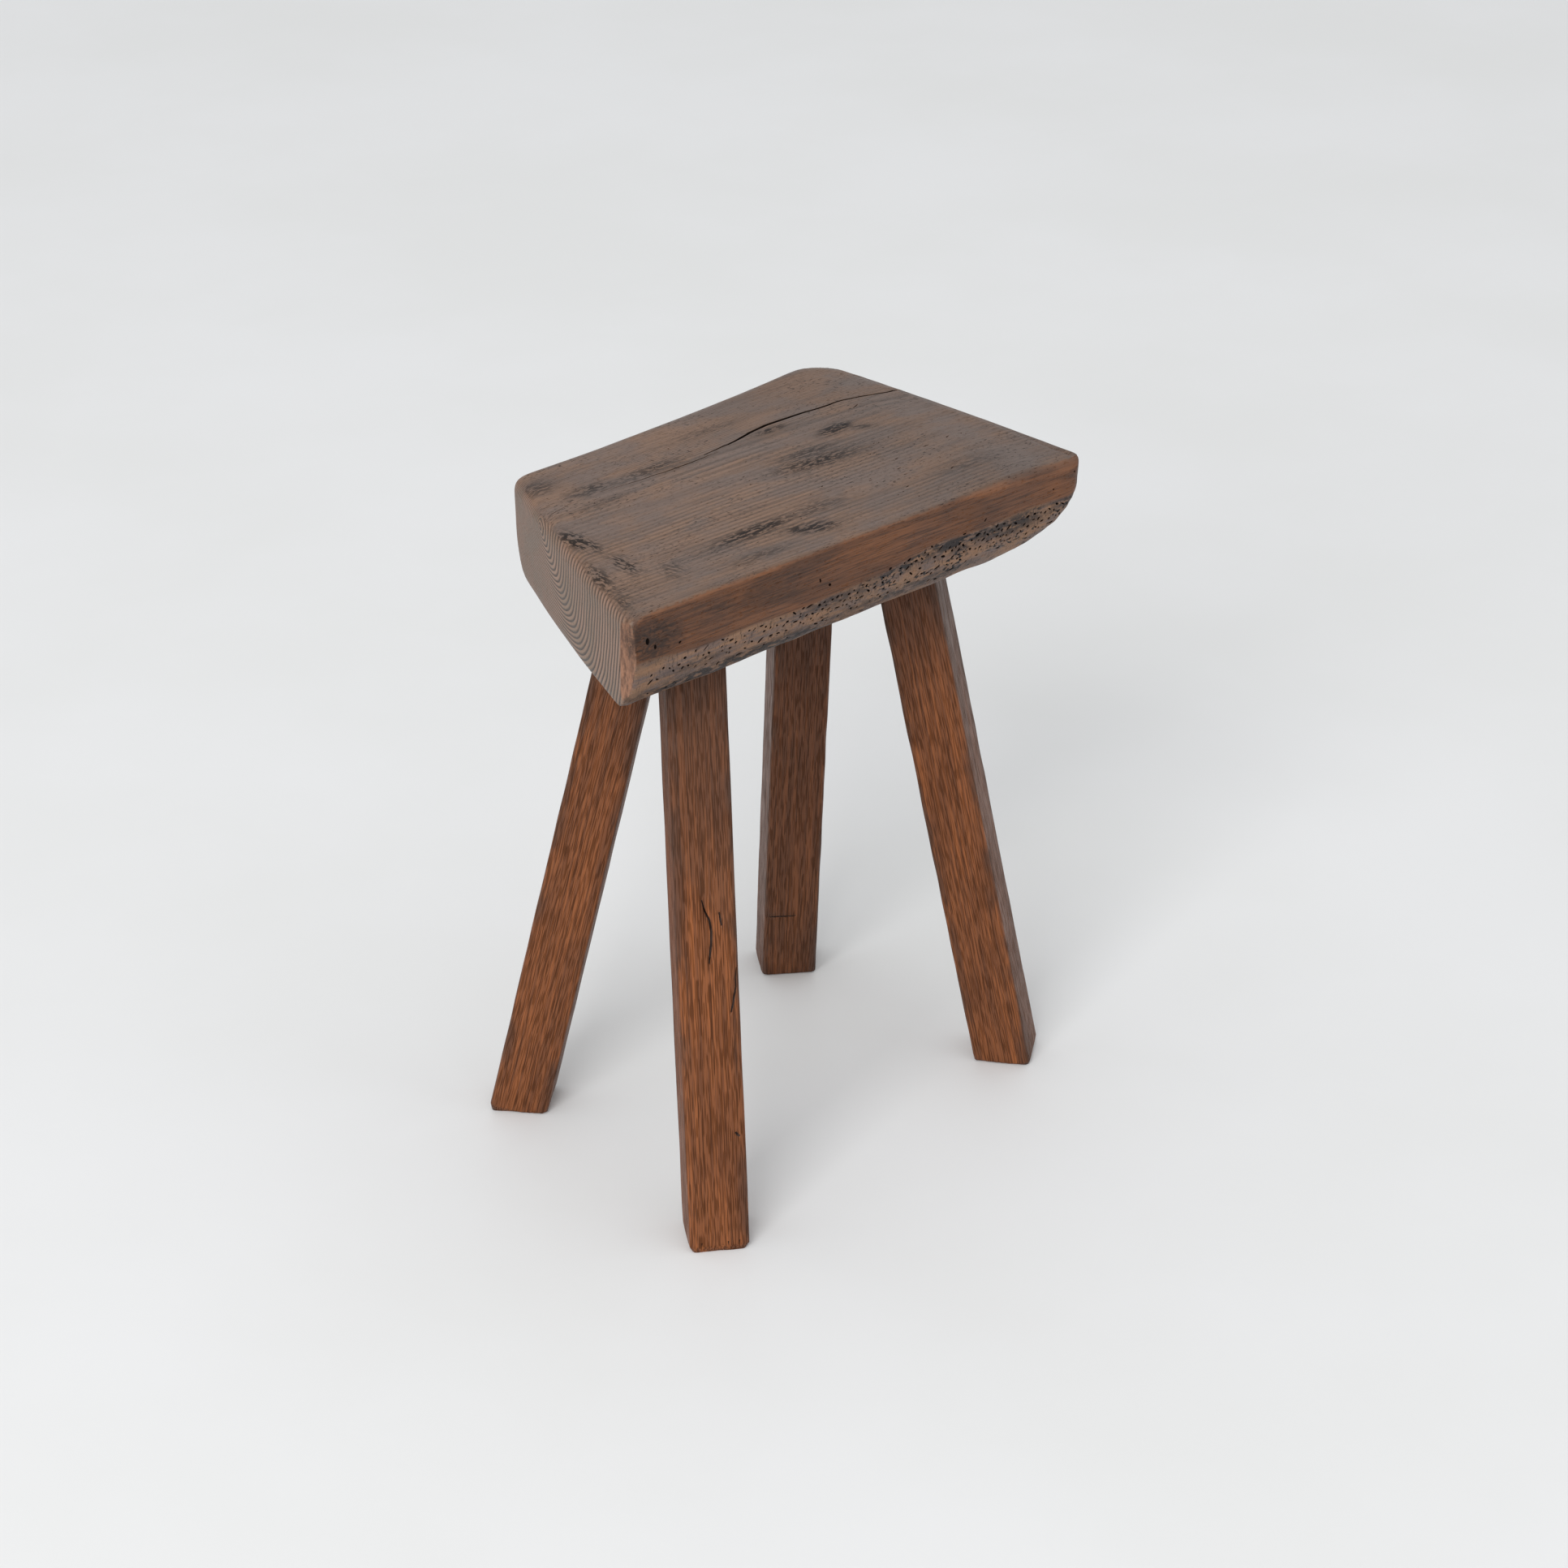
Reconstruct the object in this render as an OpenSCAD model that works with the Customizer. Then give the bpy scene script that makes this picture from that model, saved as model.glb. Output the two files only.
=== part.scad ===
// Small four-legged milking stool: a thick slab seat with one natural, undercut
// long side, on four splayed square legs that are tenoned blind into its underside.
// X runs along the seat's long front edge, Y to the back, Z up.
// The origin is on the floor, under the centre of the stool.

/* [Seat] */
// Height of the seat's top above the floor
seat_h = 460; // [400:5:520]
// Thickness of the slab
seat_t = 67; // [62:1:85]
// Length of the front edge
seat_len = 402; // [375:1:430]
// Depth at the left end, square to the front edge
seat_depth_left = 225; // [205:1:245]
// Depth at the right end, square to the front edge
seat_depth_right = 247; // [225:1:265]
// How far the back left corner is set in from the front left one
left_setback = 94; // [60:1:110]
// How far the back right corner is set in from the front right one
right_setback = 12; // [0:1:30]
// Outward bow of the right end
right_bow = 2; // [0:1:8]
// Outward bow of the left end
left_bow = 2; // [0:1:10]
// Hollow of the back edge
back_hollow = 4; // [0:1:8]

/* [Seat edges] */
// Worn radius along the top front edge
ease_front = 3; // [2:0.5:8]
// Worn radius along the other top edges
ease_ends = 9; // [4:0.5:14]
// Height of the natural curve under the front
wane_h = 36; // [20:1:50]
// How far that curve runs in under the seat at the left end
wane_in_left = 19; // [10:1:34]
// How far that curve runs in under the seat at the right end
wane_in_right = 28; // [10:1:34]
// Height of the natural curve under the back
back_wane_h = 34; // [20:1:50]
// How far the back curve runs in under the seat
back_wane_in = 22; // [10:1:34]
// Height of the nose under the right end
nose_h = 45; // [40:1:57]
// How far the nose runs in under the right end
nose_in = 106; // [40:1:120]
// Height of the soft edge under the left end
left_wane_h = 10; // [6:1:30]
// How far the soft edge runs in under the left end at its back
left_wane_in = 4; // [2:1:20]
// How far the soft edge runs in under the left end at its front
left_front_in = 1; // [1:0.5:20]

/* [Legs] */
// Side of the square leg section
leg_w = 40; // [34:0.5:42]
// Eased radius of the leg's long edges
leg_ease = 3; // [1:0.5:6]
// Diameter of the round tenon on the leg
tenon_d = 28; // [22:1:30]
// How far the tenon reaches above the seat's underside
tenon_l = 45; // [35:1:50]

/* [Front left leg] */
// Foot centre along X
fl_x = -141.5; // [-160:0.5:-120]
// Foot centre along Y
fl_y = -119.5; // [-130:0.5:-100]
// Splay from upright, in degrees
fl_splay = 12.1; // [6:0.1:13.5]
// Direction that the foot points to, in degrees from X
fl_way = -122; // [-140:1:-110]
// Turn of the section's faces, in degrees from X
fl_turn = -33.5; // [-60:0.5:0]

/* [Front right leg] */
// Foot centre along X
fr_x = 170; // [150:0.5:180]
// Foot centre along Y
fr_y = -81; // [-100:0.5:-70]
// Splay from upright, in degrees
fr_splay = 11.3; // [6:0.1:13.5]
// Direction that the foot points to, in degrees from X
fr_way = -40; // [-60:1:-30]
// Turn of the section's faces, in degrees from X
fr_turn = -53; // [-80:0.5:-30]

/* [Back right leg] */
// Foot centre along X
br_x = 141; // [130:0.5:160]
// Foot centre along Y
br_y = 119.5; // [100:0.5:130]
// Splay from upright, in degrees
br_splay = 11.4; // [6:0.1:13.5]
// Direction that the foot points to, in degrees from X
br_way = 56; // [40:1:70]
// Turn of the section's faces, in degrees from X
br_turn = -34.5; // [-60:0.5:-10]

/* [Back left leg] */
// Foot centre along X
bl_x = -126; // [-140:0.5:-110]
// Foot centre along Y
bl_y = 100.5; // [90:0.5:115]
// Splay from upright, in degrees
bl_splay = 13.1; // [6:0.1:13.5]
// Direction that the foot points to, in degrees from X
bl_way = 141; // [120:1:150]
// Turn of the section's faces, in degrees from X
bl_turn = -49.5; // [-70:0.5:-20]

/* [Hidden] */

// Each leg as foot x, foot y, splay, direction and turn
FRONT_LEFT = [fl_x, fl_y, fl_splay, fl_way, fl_turn];
FRONT_RIGHT = [fr_x, fr_y, fr_splay, fr_way, fr_turn];
BACK_RIGHT = [br_x, br_y, br_splay, br_way, br_turn];
BACK_LEFT = [bl_x, bl_y, bl_splay, bl_way, bl_turn];

// Underside of the slab
seat_z = seat_h - seat_t;
// Front left corner of the slab, which puts the origin under the stool's centre
seat_x = -201;
seat_y = -108.5;

// Plan corners of the slab, anticlockwise from the front left
CORNERS = [
    [seat_x, seat_y],
    [seat_x + seat_len, seat_y],
    [seat_x + seat_len - right_setback, seat_y + seat_depth_right],
    [seat_x + left_setback, seat_y + seat_depth_left]
];
// Plan radius at each of those corners
CORNER_R = [8, 10, 22, 14];
// How much each corner's radius grows towards the underside
CORNER_GROW = [-4, 9, 10, 12];
// Bow of the front, right, back and left sides; outward is positive
BOWS = [0, right_bow, -back_hollow, left_bow];
// Worn top radius of the same four sides
TOP_EASE = [ease_front, ease_ends, ease_ends, ease_ends];
// Height of their underside curves, and how deep each runs in at the side's two ends
UNDER_H = [wane_h, nose_h, back_wane_h, left_wane_h];
UNDER_IN = [
    [wane_in_left, wane_in_right],
    [nose_in, nose_in],
    [back_wane_in, back_wane_in],
    [left_wane_in, left_front_in]
];

// Points on each corner arc, and inside each side
ARC_STEPS = 6;
SIDE_STEPS = 7;
// Number of slices in the underside curve and in the worn top edge
UNDER_SLICES = 12;
TOP_SLICES = 5;

// Wedge in the end of each tenon
wedge_l = 24;
wedge_thick = 5;
wedge_thin = 0.8;
// Gap left round the tenon for the glue
glue_gap = 0.15;
// Length of a cutting tool that passes right through
cut = 600;
// Facets on the drilled and turned surfaces
$fn = 48;

// Set-back of an elliptical curve of height h and depth d, at u from the face's end
function ellipse_in(u, h, d) = u >= h ? 0 : d * (1 - sqrt(1 - pow(1 - u / h, 2)));

// Set-back of end e of side i at height z above the underside
function side_in(i, e, z) =
    ellipse_in(z, UNDER_H[i], UNDER_IN[i][e]) + ellipse_in(seat_t - z, TOP_EASE[i], TOP_EASE[i]);

// Heights of the slices: close together where the slab curves fastest
SLICE_Z = concat(
    [for (k = [0:UNDER_SLICES]) (seat_t - ease_ends) * (1 - cos(90 * k / UNDER_SLICES))],
    [for (k = [1:TOP_SLICES]) seat_t - ease_ends * (1 - sin(90 * k / TOP_SLICES))]
);

// Unit vector along a line from a to b, and a quarter turn to its left
function unit(a, b) = (b - a) / norm(b - a);
function left_of(v) = [-v[1], v[0]];

// The two ends of side i of the slice at height z, after the side is set back
function side_ends(i, z) =
    let(a = CORNERS[i], b = CORNERS[(i + 1) % 4], n = left_of(unit(a, b)))
    [a + n * side_in(i, 0, z), b + n * side_in(i, 1, z)];
function side_way(i, z) = let(e = side_ends(i, z)) unit(e[0], e[1]);

// Where two lines cross, each given by a point and a direction
function cross_at(p, v, q, w) =
    let(d = q - p, det = v[0] * w[1] - v[1] * w[0]) p + v * (d[0] * w[1] - d[1] * w[0]) / det;

// Corner i of the slice at height z, after both of its sides are set back
function corner_at(i, z) =
    let(j = (i + 3) % 4)
    cross_at(side_ends(j, z)[0], side_way(j, z), side_ends(i, z)[0], side_way(i, z));

// Arc that rounds corner i of that slice
function corner_arc(i, z) =
    let(
        r = CORNER_R[i] + CORNER_GROW[i] * (1 - z / seat_t),
        v = side_way((i + 3) % 4, z),
        start = atan2(-v[0], v[1]),
        turn = acos(v * side_way(i, z)),
        reach = r / cos(turn / 2),
        middle = start + turn / 2,
        centre = corner_at(i, z) - reach * [cos(middle), sin(middle)]
    )
    [for (k = [0:ARC_STEPS])
        let(a = start + turn * k / ARC_STEPS) centre + r * [cos(a), sin(a)]];

// Side i between its two corner arcs, bowed
function side_run(i, z) =
    let(
        a = corner_arc(i, z)[ARC_STEPS],
        b = corner_arc((i + 1) % 4, z)[0],
        out = -left_of(unit(a, b))
    )
    [for (k = [1:SIDE_STEPS])
        let(t = k / (SIDE_STEPS + 1)) a + (b - a) * t + out * BOWS[i] * 4 * t * (1 - t)];

// One whole slice of the slab
function slice(z) = [for (i = [0:3]) each concat(corner_arc(i, z), side_run(i, z))];

// The slab before it is drilled
module seat_blank() {
    rings = len(SLICE_Z);
    around = 4 * (ARC_STEPS + 1 + SIDE_STEPS);
    points = [for (z = SLICE_Z) each [for (p = slice(z)) [p[0], p[1], seat_z + z]]];
    skin = [for (r = [0:rings - 2], k = [0:around - 1])
        let(n = (k + 1) % around, a = r * around, b = a + around)
        each [[a + k, b + k, a + n], [b + k, b + n, a + n]]];
    floor_face = [for (k = [0:around - 1]) k];
    top_face = [for (k = [around - 1:-1:0]) (rings - 1) * around + k];
    polyhedron(points = points, faces = concat([floor_face, top_face], skin), convexity = 4);
}

// Places its children on a leg's axis, with the foot's centre at the origin
module on_leg(leg) {
    translate([leg[0], leg[1], 0])
        rotate([0, 0, leg[3]])
            rotate([0, -leg[2], 0])
                rotate([0, 0, leg[4] - leg[3]])
                    children();
}

// Distance along a leg's axis from the floor to height z
function along_leg(leg, z) = z / cos(leg[2]);

// Square section with its corners eased
module leg_section() {
    r = leg_ease;
    c = leg_w / 2 - r;
    polygon([for (q = [0:3], k = [0:4])
        let(a = 90 * q + 22.5 * k, s = [[1, 1], [-1, 1], [-1, -1], [1, -1]][q])
        [c * s[0] + r * cos(a), c * s[1] + r * sin(a)]]);
}

// Wedge of a tenon, driven in from its end, before it is trimmed round
module wedge_shape(leg) {
    end = along_leg(leg, seat_z + tenon_l);
    on_leg(leg)
        translate([0, tenon_d, end - wedge_l])
            rotate([90, 0, 0])
                linear_extrude(2 * tenon_d)
                    polygon([
                        [-wedge_thin / 2, 0], [wedge_thin / 2, 0],
                        [wedge_thick / 2, wedge_l], [-wedge_thick / 2, wedge_l]
                    ]);
}

// Round shaft on a leg's axis, from just inside the leg to the end of the tenon
module tenon_shaft(leg, gap) {
    start = along_leg(leg, seat_z - leg_w);
    end = along_leg(leg, seat_z + tenon_l);
    on_leg(leg)
        translate([0, 0, start])
            cylinder(h = end - start, d = tenon_d + 2 * gap);
}

// Leg: square shaft, sawn level at the floor, scribed to the slab, with a slotted tenon
module leg(spec) {
    color("#8a4a24") {
        difference() {
            on_leg(spec) translate([0, 0, -leg_w]) linear_extrude(seat_h) leg_section();
            translate([-cut / 2, -cut / 2, -cut]) cube(cut);
            seat_blank();
        }
        difference() {
            tenon_shaft(spec, 0);
            wedge_shape(spec);
        }
    }
}

// Fox wedge that spreads a tenon inside its blind hole
module wedge(spec) {
    color("#b98d5a")
        intersection() {
            wedge_shape(spec);
            tenon_shaft(spec, 0);
        }
}

// Seat slab with its four blind holes
module seat() {
    color("#6b5547")
        difference() {
            seat_blank();
            for (spec = [FRONT_LEFT, FRONT_RIGHT, BACK_RIGHT, BACK_LEFT])
                tenon_shaft(spec, glue_gap);
        }
}

seat();
leg(FRONT_LEFT);  // front_left_leg
leg(FRONT_RIGHT);  // front_right_leg
leg(BACK_RIGHT);  // back_right_leg
leg(BACK_LEFT);  // back_left_leg
wedge(FRONT_LEFT);  // front_left_wedge
wedge(FRONT_RIGHT);  // front_right_wedge
wedge(BACK_RIGHT);  // back_right_wedge
wedge(BACK_LEFT);  // back_left_wedge
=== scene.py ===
"""Looks of an old four-legged milking stool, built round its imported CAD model."""

import math

import bmesh
import bpy
import numpy as np
from mathutils import Matrix, Vector
from mathutils.bvhtree import BVHTree


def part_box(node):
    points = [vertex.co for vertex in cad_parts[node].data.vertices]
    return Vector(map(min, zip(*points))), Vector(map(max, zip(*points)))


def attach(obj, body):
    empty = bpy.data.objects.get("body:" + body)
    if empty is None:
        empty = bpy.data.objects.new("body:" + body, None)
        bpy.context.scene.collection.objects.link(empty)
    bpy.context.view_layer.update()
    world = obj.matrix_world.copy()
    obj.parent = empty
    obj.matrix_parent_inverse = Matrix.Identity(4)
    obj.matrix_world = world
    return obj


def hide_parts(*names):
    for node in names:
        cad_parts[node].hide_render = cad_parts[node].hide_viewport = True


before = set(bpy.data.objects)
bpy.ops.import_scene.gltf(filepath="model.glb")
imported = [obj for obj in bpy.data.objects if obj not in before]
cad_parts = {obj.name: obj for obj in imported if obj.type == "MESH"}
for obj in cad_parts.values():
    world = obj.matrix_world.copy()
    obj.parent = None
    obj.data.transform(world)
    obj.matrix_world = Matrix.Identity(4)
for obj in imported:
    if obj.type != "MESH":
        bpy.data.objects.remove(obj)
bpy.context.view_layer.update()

MM = 0.001
SCENE = bpy.context.scene
LEGS = ["front_left_leg", "front_right_leg", "back_right_leg", "back_left_leg"]
# How much painted shade darkens each leg, most on the back right leg in the seat's shadow
LEG_SHADE = {
    "front_left_leg": 0.0,
    "front_right_leg": 0.10,
    "back_right_leg": 0.42,
    "back_left_leg": 0.08,
}
# How dark the stain is on the upper part of a leg
STAINED = {"front_left_leg": 0.3}
WEDGES = [node.replace("_leg", "_wedge") for node in LEGS]

# The seat's own axes, in millimetres: along the front edge, back from it, and up from the underside.
# Their zero is about where the front face and the left end would meet if that corner were sharp,
# which is CORNER_CUT to the left of the seat's box.
SEAT_LO, SEAT_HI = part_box("seat")
CORNER_CUT = 4.03 * MM
SEAT_ZERO = Vector((SEAT_LO.x - CORNER_CUT, SEAT_LO.y, SEAT_LO.z))
SEAT_TOP = (SEAT_HI.z - SEAT_LO.z) / MM
# The way that the seat's left end faces
LEFT_END_WAY = Vector((-0.923, 0.385, 0))


# ---------- numbers ----------

def smoothstep(low, high, x):
    """0 below low, 1 above high, and a smooth rise between them."""
    t = np.clip((x - low) / (high - low), 0, 1)
    return t * t * (3 - 2 * t)


def ripple(points, size, seed, waves=16):
    """Smooth noise from about -1 to 1, whose features are about size long, one value per axis."""
    rng = np.random.default_rng(seed)
    ways = rng.normal(size=(waves, 3)) * 2.2 / np.asarray(size, float)
    phases = rng.uniform(0, 2 * math.pi, waves)
    return np.sin(points @ ways.T + phases).sum(1) / math.sqrt(2 * waves)


def spot(q, along, back, half_long, half_wide, turn=0.0):
    """A soft oval on the seat's top, 1 in its middle; turn is in degrees from the front edge."""
    c, s = math.cos(math.radians(turn)), math.sin(math.radians(turn))
    x = q[:, 0] - along
    y = q[:, 1] - back
    a = (x * c + y * s) / half_long
    b = (y * c - x * s) / half_wide
    return np.exp(-(a * a + b * b) ** 1.3)


def to_row(along, back, up):
    """A point in the seat's own millimetres, as a place in the row frame."""
    return SEAT_ZERO + Vector((along, back, up)) * MM


# ---------- meshes ----------

def linked(name, mesh):
    """A new object with this mesh, in the scene."""
    piece = bpy.data.objects.new(name, mesh)
    SCENE.collection.objects.link(piece)
    return piece


def cad_copy(node, name):
    """A new object with a copy of a CAD node's mesh, welded into one closed skin."""
    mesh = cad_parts[node].data.copy()
    mesh.materials.clear()
    shape = bmesh.new()
    shape.from_mesh(mesh)
    bmesh.ops.remove_doubles(shape, verts=shape.verts, dist=0.002 * MM)
    shape.to_mesh(mesh)
    shape.free()
    return linked(name, mesh)


def apply_modifiers(piece):
    """Replaces the piece's mesh with what its modifiers make of it."""
    graph = bpy.context.evaluated_depsgraph_get()
    mesh = bpy.data.meshes.new_from_object(piece.evaluated_get(graph))
    piece.modifiers.clear()
    piece.data = mesh


def remesh(piece, voxel):
    """Rebuilds the piece's skin from even faces, about one voxel across."""
    modifier = piece.modifiers.new("voxels", "REMESH")
    modifier.mode = "VOXEL"
    modifier.voxel_size = voxel
    apply_modifiers(piece)


def carve(piece, cutter):
    """Cuts the cutter's shape out of the piece, and removes the cutter."""
    modifier = piece.modifiers.new("carve", "BOOLEAN")
    modifier.operation = "DIFFERENCE"
    modifier.solver = "EXACT"
    modifier.object = cutter
    apply_modifiers(piece)
    bpy.data.objects.remove(cutter)


def places(mesh):
    """The mesh's points, one row each."""
    co = np.empty(len(mesh.vertices) * 3, np.float32)
    mesh.vertices.foreach_get("co", co)
    return co.reshape(-1, 3).astype(float)


def normals(mesh):
    """Which way the skin faces at each point."""
    n = np.empty(len(mesh.vertices) * 3, np.float32)
    mesh.vertex_normals.foreach_get("vector", n)
    return n.reshape(-1, 3).astype(float)


def move_to(mesh, co):
    """Moves the mesh's points to these places."""
    mesh.vertices.foreach_set("co", co.astype(np.float32).ravel())
    mesh.update()


def skin_of(piece):
    """A search tree of the piece's skin as it is now."""
    graph = bpy.context.evaluated_depsgraph_get()
    return BVHTree.FromObject(piece, graph)


def store(mesh, name, values):
    """Keeps one number per point, or three, where the materials can read it."""
    values = np.asarray(values, np.float32)
    kind, field = ("FLOAT", "value") if values.ndim == 1 else ("FLOAT_VECTOR", "vector")
    attribute = mesh.attributes.new(name, kind, "POINT")
    attribute.data.foreach_set(field, values.ravel())


def depth_below(mesh, skin):
    """How far each point lies below an earlier skin, in millimetres, and which way that skin faces."""
    found = [skin.find_nearest(v.co) for v in mesh.vertices]
    depth = np.array([hit[3] for hit in found]) / MM
    way = np.array([hit[1] for hit in found], float)
    return depth, way


def shade(mesh, sharp_angle=40):
    """Smooth shading, but sharp along the edges of cuts."""
    mesh.shade_smooth()
    mesh.set_sharp_from_angle(angle=math.radians(sharp_angle))


def add_groove(shape, path, out, widths, depths, lift=1.5 * MM):
    """Adds a closed V-shaped ribbon along a path to a bmesh, to cut a split with."""
    rings = []
    for k, point in enumerate(path):
        before = path[max(k - 1, 0)]
        after = path[min(k + 1, len(path) - 1)]
        side = out.cross(after - before).normalized()
        # The ribbon widens above the surface as it does below it
        mouth = 0.5 * widths[k] * (1 + lift / depths[k])
        corners = [point + out * lift + side * mouth,
                   point + out * lift - side * mouth,
                   point - out * depths[k]]
        rings.append([shape.verts.new(corner) for corner in corners])
    for a, b in zip(rings, rings[1:]):
        for k in range(3):
            n = (k + 1) % 3
            shape.faces.new([a[k], a[n], b[n], b[k]])
    shape.faces.new(rings[0][::-1])
    shape.faces.new(rings[-1])


def add_pit(shape, pits, centre, out, way, half_long, half_wide, depth, rng):
    """Adds a small uneven bead, sunk in a surface, to a bmesh, unless it would touch another."""
    clearance = 1.15
    if any((centre - other).length < clearance * (half_long + reach) for other, reach in pits):
        return
    pits.append((centre, half_long))
    side = out.cross(way).normalized()
    way = side.cross(out)
    turn = Matrix((way, side, out)).transposed().to_4x4()
    size = Matrix.Diagonal((half_long, half_wide, depth, 1))
    made = bmesh.ops.create_icosphere(shape, subdivisions=2, radius=1)
    for vert in made["verts"]:
        vert.co *= rng.uniform(0.88, 1.1)
    bmesh.ops.transform(shape, verts=made["verts"], matrix=Matrix.Translation(centre) @ turn @ size)


def cutter_of(shape, name):
    """A new object made from a bmesh, with its faces turned outward; the bmesh is used up."""
    bmesh.ops.recalc_face_normals(shape, faces=shape.faces)
    mesh = bpy.data.meshes.new(name)
    shape.to_mesh(mesh)
    shape.free()
    return linked(name, mesh)


# ---------- the seat's shape ----------

def band_edge(q):
    """Height of the line on the front where the sawn band ends and the natural surface starts."""
    x = q[:, 0]
    return 32.5 + 8 * smoothstep(180, 270, x) + 3 * np.exp(-((x - 15) / 30) ** 2) + 0.8 * np.sin(x / 13)


def front_wane(q):
    """1 on the natural surface under the front band, and 0 on the sawn faces."""
    below = smoothstep(-0.5, 2.0, band_edge(q) - q[:, 2])
    return below * smoothstep(62, 46, q[:, 1]) * smoothstep(-1.5, 1.0, q[:, 2])


def sculpt_slab(mesh):
    """Wear and hewing marks, all of them inward, so that the slab keeps to its size."""
    co = places(mesh)
    n = normals(mesh)
    q = (co - np.array(SEAT_ZERO)) / MM
    top = smoothstep(0.6, 0.95, n[:, 2])
    wane = front_wane(q) * smoothstep(0.75, 0.55, -n[:, 0])
    under = smoothstep(0.6, 0.95, -n[:, 2])
    ends = smoothstep(0.5, 0.8, np.abs(n[:, 0]))
    inward = 0.28 * top * (1 + ripple(q, (90, 38, 60), 1))
    inward += 0.10 * top * (1 + ripple(q, (60, 7, 60), 2))
    # The natural surface steps in below the band, and is lumpy along the grain
    inward += wane * (0.5 + 0.3 * ripple(q, (46, 14, 9), 3) + 0.2 * ripple(q, (12, 5, 4), 4))
    inward += 0.45 * under * (1 + ripple(q, (40, 22, 60), 5))
    inward += 0.12 * ends * (1 + ripple(q, (60, 24, 20), 6))
    band = smoothstep(0.5, 0.8, -n[:, 1]) * (1 - wane)
    inward += 0.16 * band * (1 + ripple(q, (70, 30, 8), 7))
    # The top falls away at the right end, most of all at its front corner
    inward += 1.5 * top * smoothstep(350, 388, q[:, 0])
    inward += 1.8 * top * smoothstep(75, 8, np.hypot(q[:, 0] - 400, 0.8 * q[:, 1]))
    co -= n * np.maximum(inward, 0)[:, None] * MM
    move_to(mesh, flatten_corner(round_front_edge(co)))


def round_front_edge(co):
    """The top front edge is worn rounder and rounder towards the right end."""
    q = (co - np.array(SEAT_ZERO)) / MM
    radius = 3.2 + 12.0 * smoothstep(270, 400, q[:, 0])
    y = radius - q[:, 1]
    z = q[:, 2] - (SEAT_TOP - radius)
    reach = np.hypot(y, z)
    outside = (y > 0) & (z > 0) & (reach > radius)
    keep = np.where(outside, radius / np.maximum(reach, 1e-6), 1)
    q[:, 1] = np.where(outside, radius - y * keep, q[:, 1])
    q[:, 2] = np.where(outside, SEAT_TOP - radius + z * keep, q[:, 2])
    return q * MM + np.array(SEAT_ZERO)


def over_corner(co):
    """How far each point stands out past the worn flat at the front left corner, and the flat's way."""
    way = np.array((-0.985, -0.17, 0.0))
    way /= np.linalg.norm(way)
    corner = np.array(to_row(7.4, 0, 0))
    # The flat is widest a little above half way up
    up = np.clip((co[:, 2] - SEAT_ZERO.z) / (SEAT_TOP * MM), 0, 1)
    widened = 1.0 * MM * np.sin(math.pi * up ** 1.1)
    return (co - corner) @ way + widened, way


def flatten_corner(co):
    """The worn flat between the seat's front face and its left end."""
    over, way = over_corner(co)
    return co - np.maximum(over, 0)[:, None] * way


def wobbling(points, step, sway, seed):
    """Points close together along a line through the given ones, with a slight sway to each side."""
    line = np.array(points, float)
    run = np.concatenate([[0], np.cumsum(np.linalg.norm(np.diff(line, axis=0), axis=1))])
    s = np.linspace(0, run[-1], max(3, int(run[-1] / step)))
    x, y = (np.interp(s, run, line[:, k]) for k in (0, 1))
    along = np.stack([s, s * 0, s * 0], axis=1)
    swing = sway * (ripple(along, (16, 1, 1), seed) + 0.4 * ripple(along, (4, 1, 1), seed + 1))
    return x, y + swing, s / run[-1]


def add_top_split(shape, points, width, depth, seed, taper=(0.0, 0.0)):
    """A split in the seat's top. Width is given at evenly spread places along it."""
    x, y, share = wobbling(points, 4.0, 0.55, seed)
    widths = np.interp(share, np.linspace(0, 1, len(width)), width) * MM
    depths = np.interp(share, [0, 0.1, 0.9, 1], [max(taper[0], 1.5), depth, depth, max(taper[1], 1.5)]) * MM
    path = [to_row(a, b, SEAT_TOP - 0.4) for a, b in zip(x, y)]
    add_groove(shape, path, Vector((0, 0, 1)), widths, depths)


def cut_splits(slab):
    """The long split across the top, its hairline at the left, and the split in the left end."""
    shape = bmesh.new()
    main = [(402, 163), (386, 166.5), (346, 175), (305, 176.5), (273, 176.5), (240, 170), (211, 165)]
    middle = [(222, 163.2), (200, 162), (173, 161), (140, 162.5), (120, 164.5)]
    left = [(96, 163.5), (82, 160), (66, 155)]
    add_top_split(shape, main, (2.0, 1.8, 1.9, 2.4, 2.8, 2.0, 0.8), 13, 21, taper=(13, 2))
    add_top_split(shape, middle, (0.4, 1.1, 0.9, 0.7, 0.3), 5, 31)
    add_top_split(shape, left, (0.25, 0.5, 0.5), 3, 41, taper=(0, 3))
    carve(slab, cutter_of(shape, "splits"))
    shape = bmesh.new()
    start = to_row(65, 155, SEAT_TOP - 7)
    steps = 7
    path = [start + Vector((0.3 * k, -0.35 * k, -2.4 * k)) * MM for k in range(steps)]
    add_groove(shape, path, LEFT_END_WAY, [0.6 * MM] * steps, [3 * MM] * steps)
    carve(slab, cutter_of(shape, "end_split"))


def ray_to_skin(skin, start, way):
    """Where a ray meets the skin and which way the skin faces there, or two Nones."""
    hit = skin.ray_cast(start, way)
    return (hit[0], hit[1]) if hit[0] is not None else (None, None)


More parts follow.
